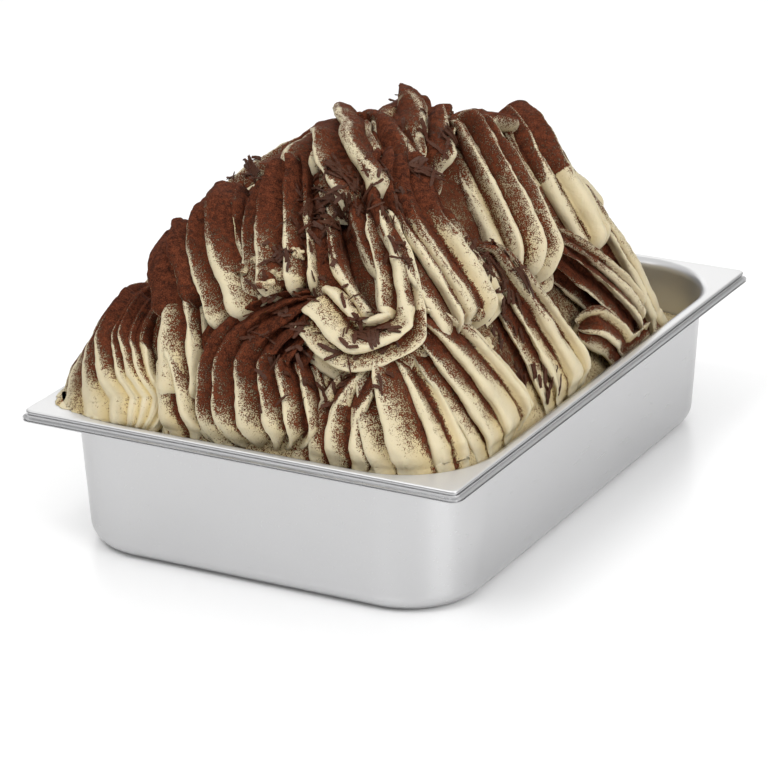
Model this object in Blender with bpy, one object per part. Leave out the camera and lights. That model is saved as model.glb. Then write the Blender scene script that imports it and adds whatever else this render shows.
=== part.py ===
"""Rectangular steel gelato pan, heaped with gelato that a spatula laid in ridged lobes.

X runs along the pan's short side and Y along its long side, +Z is up. The origin is under
the middle of the pan, on the surface that it stands on. Sizes are written in millimetres,
and each mesh is turned into metres when it is made.
"""

import math
from collections import namedtuple

import bmesh
import bpy
import numpy as np
from mathutils import Vector
from mathutils.bvhtree import BVHTree

MM = 0.001

# Pan: the outline of its flat rim, and its height
RIM_WIDTH = 250.0
RIM_LENGTH = 360.0
PAN_HEIGHT = 80.0
RIM_CORNER = 4.0
SHEET = 0.9

# Lip round the rim: a short drop, then a small outward flare
LIP_DROP = 3.7
LIP_STEP = 2.0
LIP_HEIGHT = 5.8
EDGE_ROUND = 1.1

# Well: its mouth inside the rim, and how it narrows to the bottom
MOUTH_INSET = 8.2
MOUTH_CORNER = 46.5
MOUTH_ROUND = 5.1
WALL_DRAFT = 5.4
BOTTOM_ROUND = 11.0
BOTTOM_CORNER = 40.0
CORNER_STEPS = 8

# Gelato: what stays free between it and the steel, its level by the walls, how deep its core
# lies under the heap's surface, how far it starts below the pan, and the free space over the rim
CLEARANCE = 0.3
FILL_LEVEL = 52.0
CORE_DEPTH = 18.3
CORE_BELOW = 2.0
FREE_HEIGHT = 200.0

# Heap: its foot inside the rim, its level ridge, and the rise of the top above the rim
HEAP_HALF_WIDTH = 122.0
HEAP_FRONT = 178.0
HEAP_BACK = 160.0
HEAP_TOP = (6.0, -28.0)
HEAP_RIDGE = 36.0
HEAP_RISE = 134.0
HEAP_SLOPE = 1.65
HEAP_SHOULDER = 0.88
FRONT_SQUARENESS = 4.0
BACK_SQUARENESS = 2.4
FOOT_SLOPE = 150.0

# Lobes: the mesh along the stroke and round its foot, and the arch across it
ROWS_PER_SPAN = 2.0
NOSE_ANGLES = (58.0,)
ARCH_HALF_ANGLE = 97.0
ARCH_SQUARENESS = 2.4
SPREAD = 0.5
SINK = 7.0

# Ridges: how far their crests lean and curl downhill, and how their depths compare with the table
LEAN_SHIFT = 0.2
LEAN_BASE = 0.4
CURL = 0.55
RELIEF_SCALE = 1.75
START_NARROW = 0.6
FOOT_BULGE = 0.7
FOOT_SOFTNESS = 3.0
END_FULLNESS = 0.35
FADED = 0.85

# One stroke of the spatula. path: plan points from its start to its foot; widths: half its
# width there; thick: how far it stands out; ridges and relief: how many, and how deep;
# lift: how far its start and its foot rise off the heap; nose: length of the rounded foot;
# slant: how much further its foot reaches on one side; fade: share of the stroke over which
# its ridges run out towards the foot; overhang: how far its foot lies over the rim
Lobe = namedtuple("Lobe", "path widths thick ridges relief lift nose slant fade overhang",
                  defaults=(0.0, 0.0, 0.0))

LOBES = (
    # front left corner
    Lobe(((-99, -112), (-104, -142), (-98, -166)), (28, 54), 22, 12, 2.6, (4, 9), 10, 0.0, 0.45, 17.0),
    Lobe(((-116, -150), (-98, -170), (-64, -172)), (8, 10), 11, 2, 1.6, (9, 4), 9, 0.0, 0.5, 12.0),
    Lobe(((-50, -160), (-40, -170), (-34, -177)), (9, 15), 13, 4, 2.4, (0, 2), 7),
    Lobe(((-54, -138), (-44, -156), (-38, -168)), (11, 16), 15, 4, 2.6, (2, 1), 8),
    Lobe(((-66, -110), (-60, -127), (-47, -143)), (18, 19), 17, 4, 2.0, (9, 7), 8),
    Lobe(((22, -142), (0, -156), (10, -174)), (18, 42), 19, 11, 3.2, (1, 4), 9),
    # front right corner
    Lobe(((64, -151), (56, -164), (58, -176)), (14, 24), 17, 6, 2.6, (2, 1), 7),
    Lobe(((72, -148), (88, -158), (104, -167)), (12, 26), 17, 5, 3.4, (2, 1), 7),
    Lobe(((80, -126), (103, -113), (121, -99)), (17, 35), 18, 7, 3.0, (4, 1), 7),
    # right side
    Lobe(((80, -52), (104, -40), (121, -28)), (19, 32), 19, 7, 3.2, (4, 1), 8),
    Lobe(((86, 6), (100, 34), (113, 62)), (12, 15), 16, 6, 3.0, (3, 2), 8),
    Lobe(((118, 66), (122, 42), (113, 14)), (8, 9), 13, 3, 3.0, (3, 1), 7),
    Lobe(((74, 66), (95, 84), (115, 98)), (13, 19), 15, 4, 2.6, (6, 0), 8),
    # upper left
    Lobe(((-52, -88), (-38, -124), (-15, -145)), (15, 21), 18, 6, 2.8, (3, 3), 9),
    Lobe(((-18, -88), (-6, -114), (8, -136)), (16, 21), 19, 6, 3.0, (1, 8), 9),
    Lobe(((-28, -14), (-28, -44), (-20, -86)), (11, 17), 17, 4, 3.4, (2, 1), 9),
    # middle of the front, with the curl beside it
    Lobe(((34, -64), (54, -88), (90, -94)), (22, 30), 22, 8, 3.2, (4, 7), 10),
    Lobe(((47, -105), (64, -120), (73, -136), (55, -149), (31, -143)), (9, 17), 16, 5, 3.2, (5, 7), 8),
    Lobe(((17, -114), (30, -132), (50, -142)), (9, 13), 15, 2, 3.2, (4, 2), 8),
    # top
    Lobe(((-26, -8), (8, -70), (34, -94)), (12, 17), 19, 4, 4.0, (3, 4), 10),
    Lobe(((-20, 6), (24, -46), (44, -56)), (9, 13), 16, 3, 3.4, (-4, 2), 8),
    Lobe(((-6, 22), (6, 6), (22, -24)), (9, 17), 26, 3, 3.0, (7, -2), 9),
    Lobe(((20, 10), (29, -8), (41, -26)), (8, 12), 20, 3, 3.0, (-2, 0), 7),
    Lobe(((40, 44), (33, 22), (40, 0)), (10, 14), 21, 4, 3.2, (3, 0), 8),
    Lobe(((40, 8), (63, -5), (86, -19)), (17, 19), 21, 6, 4.0, (5, 9), 13, -4.0),
    Lobe(((32, 62), (62, 46), (90, 48)), (10, 17), 19, 5, 3.4, (11, 4), 10),
    # left side and back, which finish the heap as its front does
    Lobe(((-64, -58), (-88, -70), (-118, -88)), (20, 34), 19, 4, 3.8, (3, 1), 8),
    Lobe(((-62, -2), (-90, -14), (-120, -22)), (21, 36), 20, 4, 4.0, (3, 2), 8),
    Lobe(((-58, 48), (-86, 52), (-119, 44)), (20, 34), 19, 4, 4.0, (3, 2), 8),
    Lobe(((-46, 80), (-70, 104), (-99, 126)), (21, 36), 19, 4, 3.8, (3, 2), 9),
    Lobe(((-14, -18), (-46, -30), (-78, -50)), (15, 26), 20, 4, 3.8, (-5, 5), 10),
    Lobe(((-8, 18), (-40, 26), (-80, 18)), (15, 27), 20, 4, 3.8, (-9, 5), 10),
    Lobe(((-8, 48), (-32, 66), (-58, 88)), (15, 26), 20, 4, 3.8, (-6, 5), 10),
    Lobe(((8, 56), (-4, 86), (-10, 122)), (17, 26), 21, 4, 4.0, (-6, 5), 10),
    Lobe(((-18, 106), (-24, 134), (-28, 166)), (20, 34), 18, 4, 3.8, (2, 2), 8),
    Lobe(((26, 56), (44, 82), (56, 108)), (15, 26), 20, 4, 3.8, (-2, 3), 10),
    Lobe(((26, 108), (36, 132), (44, 158)), (20, 32), 17, 4, 3.8, (2, 1), 8),
)

# Shavings: where each cluster lies, how far it spreads, how many, and their length
Cluster = namedtuple("Cluster", "spot spread count length")

CLUSTERS = (
    Cluster((-36, -92), 4, 1, 16),
    Cluster((14, -104), 11, 5, 15),
    Cluster((10, -138), 13, 4, 15),
    Cluster((62, -148), 9, 3, 13),
    Cluster((44, -62), 6, 2, 20),
    Cluster((84, -58), 10, 4, 17),
    Cluster((112, -62), 3, 1, 14),
    Cluster((30, -18), 8, 2, 15),
)
SHAVING_WIDTH = 6.0
SHAVING_THICK = 1.6
SHAVING_BEND = 3.0
SHAVING_REACH = 60.0


def set_material(item, name, colour, roughness, metallic):
    """Give an object one Principled material."""
    material = bpy.data.materials.new(name)
    material.use_nodes = True
    shader = material.node_tree.nodes["Principled BSDF"]
    shader.inputs["Base Color"].default_value = (*colour, 1.0)
    shader.inputs["Roughness"].default_value = roughness
    shader.inputs["Metallic"].default_value = metallic
    item.data.materials.append(material)


def tube_object(name, rings, collection):
    """Skin a row of closed rings, capped at both ends, as one closed mesh with outward faces."""
    mesh = bmesh.new()
    rows = [[mesh.verts.new([c * MM for c in point]) for point in ring] for ring in rings]
    for lower, upper in zip(rows, rows[1:]):
        for i, corner in enumerate(lower):
            j = (i + 1) % len(lower)
            mesh.faces.new((corner, lower[j], upper[j], upper[i]))
    for row in (rows[0], rows[-1]):
        centre = mesh.verts.new(sum((vert.co for vert in row), Vector()) / len(row))
        for i, corner in enumerate(row):
            mesh.faces.new((corner, row[(i + 1) % len(row)], centre))
    bmesh.ops.triangulate(mesh, faces=mesh.faces)
    bmesh.ops.recalc_face_normals(mesh, faces=mesh.faces)
    if mesh.calc_volume(signed=True) < 0:
        bmesh.ops.reverse_faces(mesh, faces=mesh.faces)
    data = bpy.data.meshes.new(name)
    mesh.to_mesh(data)
    mesh.free()
    item = bpy.data.objects.new(name, data)
    collection.objects.link(item)
    return item


def rounded_ring(inset, height, corner):
    """Ring of a rounded rectangle that lies inset inside the rim's outline."""
    half_x = RIM_WIDTH / 2 - inset - corner
    half_y = RIM_LENGTH / 2 - inset - corner
    ring = []
    for quarter, (side_x, side_y) in enumerate(((1, 1), (-1, 1), (-1, -1), (1, -1))):
        for step in range(CORNER_STEPS + 1):
            turn = math.radians(90 * (quarter + step / CORNER_STEPS))
            ring.append((side_x * half_x + corner * math.cos(turn),
                         side_y * half_y + corner * math.sin(turn), height))
    return ring


def wall_inset(height):
    """Inset of the well's wall at a height, from its mouth down to its bottom."""
    return MOUTH_INSET + WALL_DRAFT * (PAN_HEIGHT - height) / PAN_HEIGHT


def wall_corner(height):
    """Corner radius of the well at a height."""
    return BOTTOM_CORNER + (MOUTH_CORNER - BOTTOM_CORNER) * height / PAN_HEIGHT


def well_rings(offset):
    """Rings of the well's skin, offset outward into the steel, from the bottom up to the rim."""
    floor = SHEET - offset
    bend = BOTTOM_ROUND - SHEET + offset
    rings = []
    for angle in (0, 22, 45, 68, 90):
        swing = math.radians(angle)
        height = floor + bend * (1 - math.cos(swing))
        inset = wall_inset(height) - offset + bend * (1 - math.sin(swing))
        rings.append(rounded_ring(inset, height, wall_corner(height) + offset - bend * (1 - math.sin(swing))))
    shoulder = MOUTH_ROUND - offset
    for angle in (0, 45, 90):
        swing = math.radians(angle)
        height = PAN_HEIGHT - offset - shoulder * (1 - math.sin(swing))
        reach = shoulder * (1 - math.cos(swing)) + offset
        inset = MOUTH_INSET - reach
        rings.append(rounded_ring(inset, height, MOUTH_CORNER + reach))
    return rings


def lip_rings():
    """Rings from the rim's top edge down the lip, round its lower edge and back up inside."""
    top = PAN_HEIGHT
    step_z = top - LIP_DROP
    foot_z = top - LIP_HEIGHT
    outer = ((EDGE_ROUND, top), (0.3 * EDGE_ROUND, top - 0.3 * EDGE_ROUND), (0, top - EDGE_ROUND),
             (0, step_z), (-LIP_STEP, step_z - 1.2), (-LIP_STEP, foot_z))
    inner = ((SHEET - LIP_STEP, foot_z), (SHEET - LIP_STEP, step_z - 1.2), (SHEET, step_z - SHEET),
             (SHEET, top - EDGE_ROUND), (EDGE_ROUND + SHEET, top - SHEET))
    return [rounded_ring(inset, height, max(RIM_CORNER - inset, 1.5)) for inset, height in outer + inner]


def build_pan():
    """The pressed steel pan: inner skin up, over the rim and lip, and down the outer skin."""
    inner = well_rings(0.0)
    outer = well_rings(SHEET)
    pan = tube_object("pan", inner + lip_rings() + outer[::-1], bpy.context.scene.collection)
    pan.data.shade_smooth()
    pan.data.set_sharp_from_angle(angle=math.radians(35))
    set_material(pan, "steel", (0.62, 0.62, 0.61), 0.32, 1.0)
    return pan


def heap_reach(x, y):
    """How far a plan point lies from the heap's level top: 0 there and 1 at its foot."""
    across = np.abs(x - HEAP_TOP[0]) / np.where(x > HEAP_TOP[0], HEAP_HALF_WIDTH - HEAP_TOP[0],
                                                HEAP_HALF_WIDTH + HEAP_TOP[0])
    along = y - HEAP_TOP[1]
    front = np.maximum(0.0, -along - HEAP_RIDGE) / (HEAP_FRONT + HEAP_TOP[1] - HEAP_RIDGE)
    back = np.maximum(0.0, along - HEAP_RIDGE) / (HEAP_BACK - HEAP_TOP[1] - HEAP_RIDGE)
    power = np.where(along < 0, FRONT_SQUARENESS, BACK_SQUARENESS)
    return (across ** power + front ** power + back ** power) ** (1 / power)


def crown_height(x, y):
    """Height of the heap's outer surface over a plan point."""
    reach = heap_reach(x, y)
    inside = np.maximum(0.0, 1 - np.minimum(reach, 1.0) ** HEAP_SLOPE) ** HEAP_SHOULDER
    return PAN_HEIGHT + HEAP_RISE * inside - FOOT_SLOPE * np.maximum(0.0, reach - 1)


def crown_normal(x, y):
    """Outward normal of the heap over a plan point, from height differences."""
    step = 4.0
    slope_x = (crown_height(x + step, y) - crown_height(x - step, y)) / (2 * step)
    slope_y = (crown_height(x, y + step) - crown_height(x, y - step)) / (2 * step)
    normal = np.stack((-slope_x, -slope_y, np.ones_like(slope_x)), -1)
    return normal / np.linalg.norm(normal, axis=-1, keepdims=True)


def curve_through(points, share):
    """Points of a smooth curve through plan points, at shares from 0 to 1 of its length."""
    knots = np.array(points, float)
    knots = np.vstack((2 * knots[0] - knots[1], knots, 2 * knots[-1] - knots[-2]))
    place = np.clip(share, 0, 1) * (len(knots) - 3)
    span = np.minimum(place.astype(int), len(knots) - 4)
    t = (place - span)[:, None]
    a, b, c, d = (knots[span + k] for k in range(4))
    return 0.5 * (2 * b + (c - a) * t + (2 * a - 5 * b + 4 * c - d) * t ** 2
                  + (3 * b - a - 3 * c + d) * t ** 3)


def ridge_profile(place, lean):
    """Height over one ridge, from valley to valley; its crest leans to the downhill side."""
    crest = 0.5 + LEAN_SHIFT * np.abs(lean)
    turned = np.where(lean >= 0, place, 1 - place)
    return np.abs(np.sin(math.pi * turned ** (math.log(0.5) / np.log(crest)))) ** 0.7


def unit(vectors):
    """The vectors, each one long."""
    return vectors / np.linalg.norm(vectors, axis=-1, keepdims=True)


def tuck_in(points, overhang):
    """Hold a lobe's foot inside the mouth of the well, or let it lie over the rim."""
    corner = MOUTH_CORNER
    half = np.array((RIM_WIDTH / 2, RIM_LENGTH / 2)) - MOUTH_INSET - 0.6 - corner
    beyond = np.abs(points[..., :2]) - half
    outer = np.maximum(beyond, 0)
    distance = np.linalg.norm(outer, axis=-1) + np.minimum(beyond.max(axis=-1), 0) - corner
    allowed = overhang + FOOT_BULGE * np.maximum(0.0, points[..., 2] - PAN_HEIGHT - 1)
    excess = FOOT_SOFTNESS * np.logaddexp(0.0, (distance - allowed) / FOOT_SOFTNESS)
    points = points.copy()
    points[..., :2] -= unit(outer + 1e-9) * np.sign(points[..., :2]) * excess[..., None]
    return points


def lobe_rings(lobe, seed):
    """Rings of one lobe: an arch with ridges over a deep keel, swept along the stroke."""
    rng = np.random.default_rng(seed)
    edges = np.concatenate(([0.0], np.cumsum(rng.uniform(0.75, 1.3, lobe.ridges))))
    edges /= edges[-1]
    strengths = 1 + rng.uniform(-0.35, 0.35, lobe.ridges)

    rows = round(ROWS_PER_SPAN * (len(lobe.path) - 1))
    share = np.linspace(0, 1, rows + 1)
    plan = curve_through(lobe.path, share)
    normal = crown_normal(plan[:, 0], plan[:, 1])
    spine = np.column_stack((plan, crown_height(plan[:, 0], plan[:, 1])))
    forward = unit(np.gradient(spine, axis=0))
    across = unit(np.cross(forward, normal))
    lean = np.clip(LEAN_BASE - 3 * across[:, 2], -1, 1)
    lift = lobe.lift[0] + (lobe.lift[1] - lobe.lift[0]) * share

    column = np.arange(2 * lobe.ridges + 1)
    number = np.minimum(column // 2, lobe.ridges - 1)
    crest = 0.5 + LEAN_SHIFT * lean.mean()
    place = np.where(column == 2 * lobe.ridges, 1.0, crest * (column % 2))
    across_share = 2 * (edges[number] + place * np.diff(edges)[number]) - 1
    angle = np.radians(ARCH_HALF_ANGLE * across_share)
    arch_x = np.sign(np.sin(angle)) * np.abs(np.sin(angle)) ** (2 / ARCH_SQUARENESS)
    arch_z = np.sign(np.cos(angle)) * np.abs(np.cos(angle)) ** (2 / ARCH_SQUARENESS)

    frames = [(row, 0.0, 1.0) for row in range(rows + 1)]
    frames += [(rows, math.sin(math.radians(a)), math.cos(math.radians(a))) for a in NOSE_ANGLES]
    rings = []
    for row, reach, scale in frames:
        start = START_NARROW * lobe.widths[0]
        width = start + (lobe.widths[1] - start) * share[row] ** SPREAD
        profile = ridge_profile(place, lean[row])
        depth = RELIEF_SCALE * lobe.relief * strengths[number]
        if lobe.fade:
            depth = depth * (1 - FADED * min(1.0, max(0.0, share[row] - 1 + lobe.fade) / lobe.fade))
        ridge = profile * depth - 0.5 * RELIEF_SCALE * lobe.relief
        curl = CURL * lean[row] * depth * (profile - 0.5)
        even = FADED if lobe.fade else 0.0
        nose = lobe.nose * (0.45 + 0.55 * (even + (1 - even) * profile * strengths[number]))
        base = spine[row] + normal[row] * (lift[row] - lobe.thick)
        fullness = scale ** END_FULLNESS if reach > 0 else scale
        side = fullness * (width * arch_x + ridge * np.sin(angle) + curl)
        rise = scale * (lobe.thick * arch_z + ridge * np.cos(angle))
        ahead = reach * nose + lobe.slant * across_share * share[row] ** 2
        ring = (base + side[:, None] * across[row] + rise[:, None] * normal[row]
                + ahead[:, None] * forward[row])
        keel = base - SINK * scale * normal[row] + reach * lobe.nose * 0.5 * forward[row]
        rings.append(np.vstack((tuck_in(ring, lobe.overhang), keel)))
    return rings


def core_rings():
    """Rings of the heap under the lobes, from the pan's bottom up over its top."""
    rings = [rounded_ring(-CORE_BELOW, height, MOUTH_CORNER) for height in (-CORE_BELOW, FILL_LEVEL)]
    plan = np.array(rings[0])[:, :2]
    for share in (0.9, 0.82, 0.72, 0.58, 0.36):
        spot = plan * share
        height = crown_height(spot[:, 0], spot[:, 1]) - CORE_DEPTH
        rings.append(np.column_stack((spot, np.maximum(height, FILL_LEVEL))))
    return rings


def land_on(surface, spot):
    """Where a plan point meets the gelato from its outward side: the place and the normal."""
    x, y = np.array([spot[0]]), np.array([spot[1]])
    normal = Vector(crown_normal(x, y)[0])
    start = Vector((spot[0], spot[1], crown_height(x, y)[0])) + normal * SHAVING_REACH
    place, facing, _, _ = surface.ray_cast(start * MM, -normal, 2 * SHAVING_REACH * MM)
    return np.array(place) / MM, np.array(facing)


def shaving_rings(cluster, rng, surface):
    """Rings of one bent chocolate shaving, which stands half sunk in the gelato."""
    spot = np.array(cluster.spot) + cluster.spread * rng.uniform(-1, 1, 2)
    length = cluster.length * rng.uniform(0.7, 1.1)
    turn = rng.uniform(0, math.pi)
    tilt = rng.uniform(0.05, 0.5)
    place, normal = land_on(surface, spot)
    flat = unit(np.cross(normal, (math.cos(turn), math.sin(turn), 0.2)))
    side = np.cross(normal, flat)
    run = flat * math.cos(tilt) + normal * math.sin(tilt)
    face = np.cross(run, side)
    rings = []
    for share in (-0.5, 0.0, 0.5):
        spine = place + normal * 0.5 + run * length * share + face * SHAVING_BEND * (0.25 - share ** 2)
        rings.append([spine + side * SHAVING_WIDTH / 2 * u + face * SHAVING_THICK / 2 * v
                      for u, v in ((-1, -1), (1, -1), (1, 1), (-1, 1))])
    return rings


def free_space_rings():
    """Rings of the space that gelato may fill: the well, and all that lies above the rim."""
    well = well_rings(-CLEARANCE)
    top = PAN_HEIGHT + CLEARANCE
    over = [rounded_ring(0.5, top, RIM_CORNER), rounded_ring(0.5, top + FREE_HEIGHT, RIM_CORNER)]
    return well[:-1] + [rounded_ring(MOUTH_INSET, top, MOUTH_CORNER)] + over


def apply_boolean(item, operation, **operand):
    """Apply one Boolean to an object with the manifold solver."""
    modifier = item.modifiers.new("cut", "BOOLEAN")
    modifier.operation = operation
    modifier.solver = "MANIFOLD"
    for name, value in operand.items():
        setattr(modifier, name, value)
    bpy.context.view_layer.update()
    reading = item.evaluated_get(bpy.context.evaluated_depsgraph_get())
    result = bpy.data.meshes.new_from_object(reading)
    item.modifiers.clear()
    item.data = result


def keep_largest_island(item):
    """Drop what isn't joined to the largest piece of a mesh, and triangulate the rest."""
    mesh = bmesh.new()
    mesh.from_mesh(item.data)
    bmesh.ops.triangulate(mesh, faces=mesh.faces)
    mesh.verts.index_update()
    islands = []
    waiting = set(mesh.verts)
    while waiting:
        island = [waiting.pop()]
        for vert in island:
            near = {edge.other_vert(vert) for edge in vert.link_edges} & waiting
            waiting -= near
            island.extend(sorted(near, key=lambda item: item.index))
        islands.append(island)
    islands.sort(key=len)
    for island in islands[:-1]:
        bmesh.ops.delete(mesh, geom=island, context="VERTS")
    bmesh.ops.triangulate(mesh, faces=mesh.faces)
    mesh.to_mesh(item.data)
    mesh.free()


def new_collection(name):
    """An empty collection in the scene."""
    collection = bpy.data.collections.new(name)
    bpy.context.scene.collection.children.link(collection)
    return collection


def fuse(item, collection):
    """Join every object of a collection to an object, and remove them."""
    apply_boolean(item, "UNION", operand_type="COLLECTION", collection=collection)
    for piece in list(collection.objects):
        bpy.data.objects.remove(piece)
    bpy.data.collections.remove(collection)


def build_gelato():
    """One solid: the filling, its ridged lobes, and the largest shavings on them."""
    gelato = tube_object("gelato", core_rings(), bpy.context.scene.collection)
    lobes = new_collection("lobes")
    for number, lobe in enumerate(LOBES):
        tube_object(f"lobe_{number}", lobe_rings(lobe, number), lobes)
    fuse(gelato, lobes)
    surface = BVHTree.FromPolygons([vert.co for vert in gelato.data.vertices],
                                   [face.vertices for face in gelato.data.polygons])
    shavings = new_collection("shavings")
    rng = np.random.default_rng(7)
    for cluster in CLUSTERS:
        for _ in range(cluster.count):
            tube_object("shaving", shaving_rings(cluster, rng, surface), shavings)
    fuse(gelato, shavings)
    space = tube_object("space", free_space_rings(), bpy.context.scene.collection)
    apply_boolean(gelato, "INTERSECT", operand_type="OBJECT", object=space)
    bpy.data.objects.remove(space)
    keep_largest_island(gelato)
    set_material(gelato, "gelato", (0.76, 0.68, 0.50), 0.5, 0.0)
    return gelato


def main():
    for item in list(bpy.data.objects):
        bpy.data.objects.remove(item)
    build_pan()
    build_gelato()


main()
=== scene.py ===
"""Dress the gelato pan: ridged lobes of gelato under cocoa, chocolate shavings and pressed steel.

The sizes of the heap and the pan are in millimetres, as in the solids that they dress, and
each mesh is turned into metres when it is made.
"""

import math
from collections import namedtuple

import bpy
import numpy as np
from mathutils import Matrix, Vector
from mathutils.bvhtree import BVHTree


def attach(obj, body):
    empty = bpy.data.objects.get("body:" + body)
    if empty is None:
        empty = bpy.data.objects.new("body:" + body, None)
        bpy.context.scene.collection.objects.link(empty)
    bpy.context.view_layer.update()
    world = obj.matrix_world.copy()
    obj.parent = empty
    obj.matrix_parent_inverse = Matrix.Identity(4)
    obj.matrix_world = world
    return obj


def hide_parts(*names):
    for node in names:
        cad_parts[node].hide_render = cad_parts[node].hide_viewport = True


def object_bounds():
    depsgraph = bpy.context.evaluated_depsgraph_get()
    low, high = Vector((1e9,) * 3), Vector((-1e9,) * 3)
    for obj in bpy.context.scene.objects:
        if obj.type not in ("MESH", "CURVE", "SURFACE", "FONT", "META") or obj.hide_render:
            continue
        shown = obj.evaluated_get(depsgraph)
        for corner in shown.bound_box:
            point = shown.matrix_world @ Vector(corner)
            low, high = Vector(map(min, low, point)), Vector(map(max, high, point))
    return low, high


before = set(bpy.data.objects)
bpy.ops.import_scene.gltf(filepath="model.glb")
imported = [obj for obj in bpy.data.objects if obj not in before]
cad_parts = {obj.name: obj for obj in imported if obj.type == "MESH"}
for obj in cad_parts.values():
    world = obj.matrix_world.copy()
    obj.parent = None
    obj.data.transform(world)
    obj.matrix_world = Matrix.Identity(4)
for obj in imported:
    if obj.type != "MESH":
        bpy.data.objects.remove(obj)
SOLID_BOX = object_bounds()

bl_info = {
    "name": "Gelato pan",
    "version": (1, 0, 0),
    "blender": (4, 5, 0),
    "location": "3D View > Sidebar > Gelato",
    "description": "Builds a steel display pan heaped with ridged gelato, cocoa and chocolate shavings",
    "category": "Add Mesh",
}

MM = 0.001

# Pan: the outline of its flat rim, its lip, and its well
LIP_DROP = 3.7
LIP_STEP = 2.0
LIP_HEIGHT = 5.8
EDGE_ROUND = 1.1
HEM_ROUND = 0.7
GROOVE = 0.75
GROOVE_TOP = 1.2
GROOVE_END = 2.4
FLANGE_END = 3.1
# share of the flange's finish, with its painted highlight, that the well's inner walls get
INNER_FINISH_AND_HIGHLIGHT = 0.3
RIM_CORNER = 4.0
MOUTH_INSET = 8.2
MOUTH_CORNER = 46.5
MOUTH_ROUND = 5.1
WALL_DRAFT = 5.4
BOTTOM_ROUND = 11.0
BOTTOM_CORNER = 40.0
CORNER_STEPS = 24

# Steel: how its brushed lines are stretched along the pan, and the look of the flat flange, whose paler
# colour is a painted highlight
BRUSH_STRETCH = (1.0, 0.04, 1.0)
FLANGE_HIGHLIGHT_COLOUR = (0.68, 0.68, 0.68)
FLANGE_ROUGHNESS = 0.42
FLANGE_METALLIC = 0.5

# Cocoa texture: grains, clumps and patches to the metre
GRAIN_SCALE = 1600.0
CLUMP_SCALE = 330.0
PATCH_SCALE = 60.0

# Heap: its foot inside the rim, its level ridge, and how its sides round off
CLEARANCE = 0.3
FILL_LEVEL = 52.0
CORE_DEPTH = 14.0
CORE_ROWS = 70
MOUTH_GAP = 0.6
BOX_MARGINS = (0.4, 0.2)
HEAP_HALF_WIDTH = 122.0
HEAP_FRONT = 178.0
HEAP_BACK = 160.0
HEAP_TOP = (6.0, -28.0)
HEAP_RIDGE = 36.0
HEAP_SLOPE = 1.65
HEAP_SHOULDER = 0.88
FRONT_SQUARENESS = 4.0
BACK_SQUARENESS = 2.4
FOOT_SLOPE = 150.0

# Lobes: the round over their start and their foot, and the arch across them
START_ANGLES = tuple(range(80, 0, -10))
NOSE_ANGLES = tuple(range(8, 89, 8))
ARCH_HALF_ANGLE = 97.0
ARCH_SQUARENESS = 2.4
SPREAD = 0.5
SINK = 7.0
LEAN_SHIFT = 0.2
LEAN_BASE = 0.4
RIDGE_POWER = 0.7
RIDGE_UNEVEN = 0.5
NOSE_EVEN = 0.45
CURL = 0.55
RELIEF_SCALE = 2.3
START_NARROW = 0.6
FOOT_BULGE = 0.7
FOOT_SOFTNESS = 3.0
END_FULLNESS = 0.35
FADED = 0.85
OVERHANG_ROWS = 14
OVERHANG_SOFTNESS = 0.15

# Cocoa on the lobes: its most, and how much level places, patches, flanks, valleys and crests count; the
# valleys' cocoa is partly painted shade
DUST_FULL = 1.25
DUST_LEVEL = 0.45
DUST_PATCH = 0.22
DUST_FLANK = 0.75
DUST_FLANK_LOSS = 0.12
DUST_VALLEY_AND_SHADE = 0.7
DUST_CREST = 0.4

# Unevenness of the lobes: how far the surface moves, over what distance, and the shift of its seed
LUMPS = ((1.2, 11.0, 0), (0.32, 3.2, 50), (0.12, 1.4, 90))
STROKES = (0.38, 1.6, 130)
STROKE_LENGTH = 16.0

# One stroke of the spatula. path: plan points from its start to its foot; widths: half its
# width there; thick: how far it stands out; ridges and relief: how many, and how deep;
# lift: how far its start and its foot rise off the heap; nose: length of the rounded foot;
# dust: cocoa at its start and its foot; slant: how much further its foot reaches on one side;
# fade: share of the stroke over which its ridges run out towards the foot;
# overhang: how far its foot lies over the rim
Lobe = namedtuple("Lobe", "path widths thick ridges relief lift nose dust slant fade overhang",
                  defaults=(0.0, 0.0, 0.0))

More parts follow.
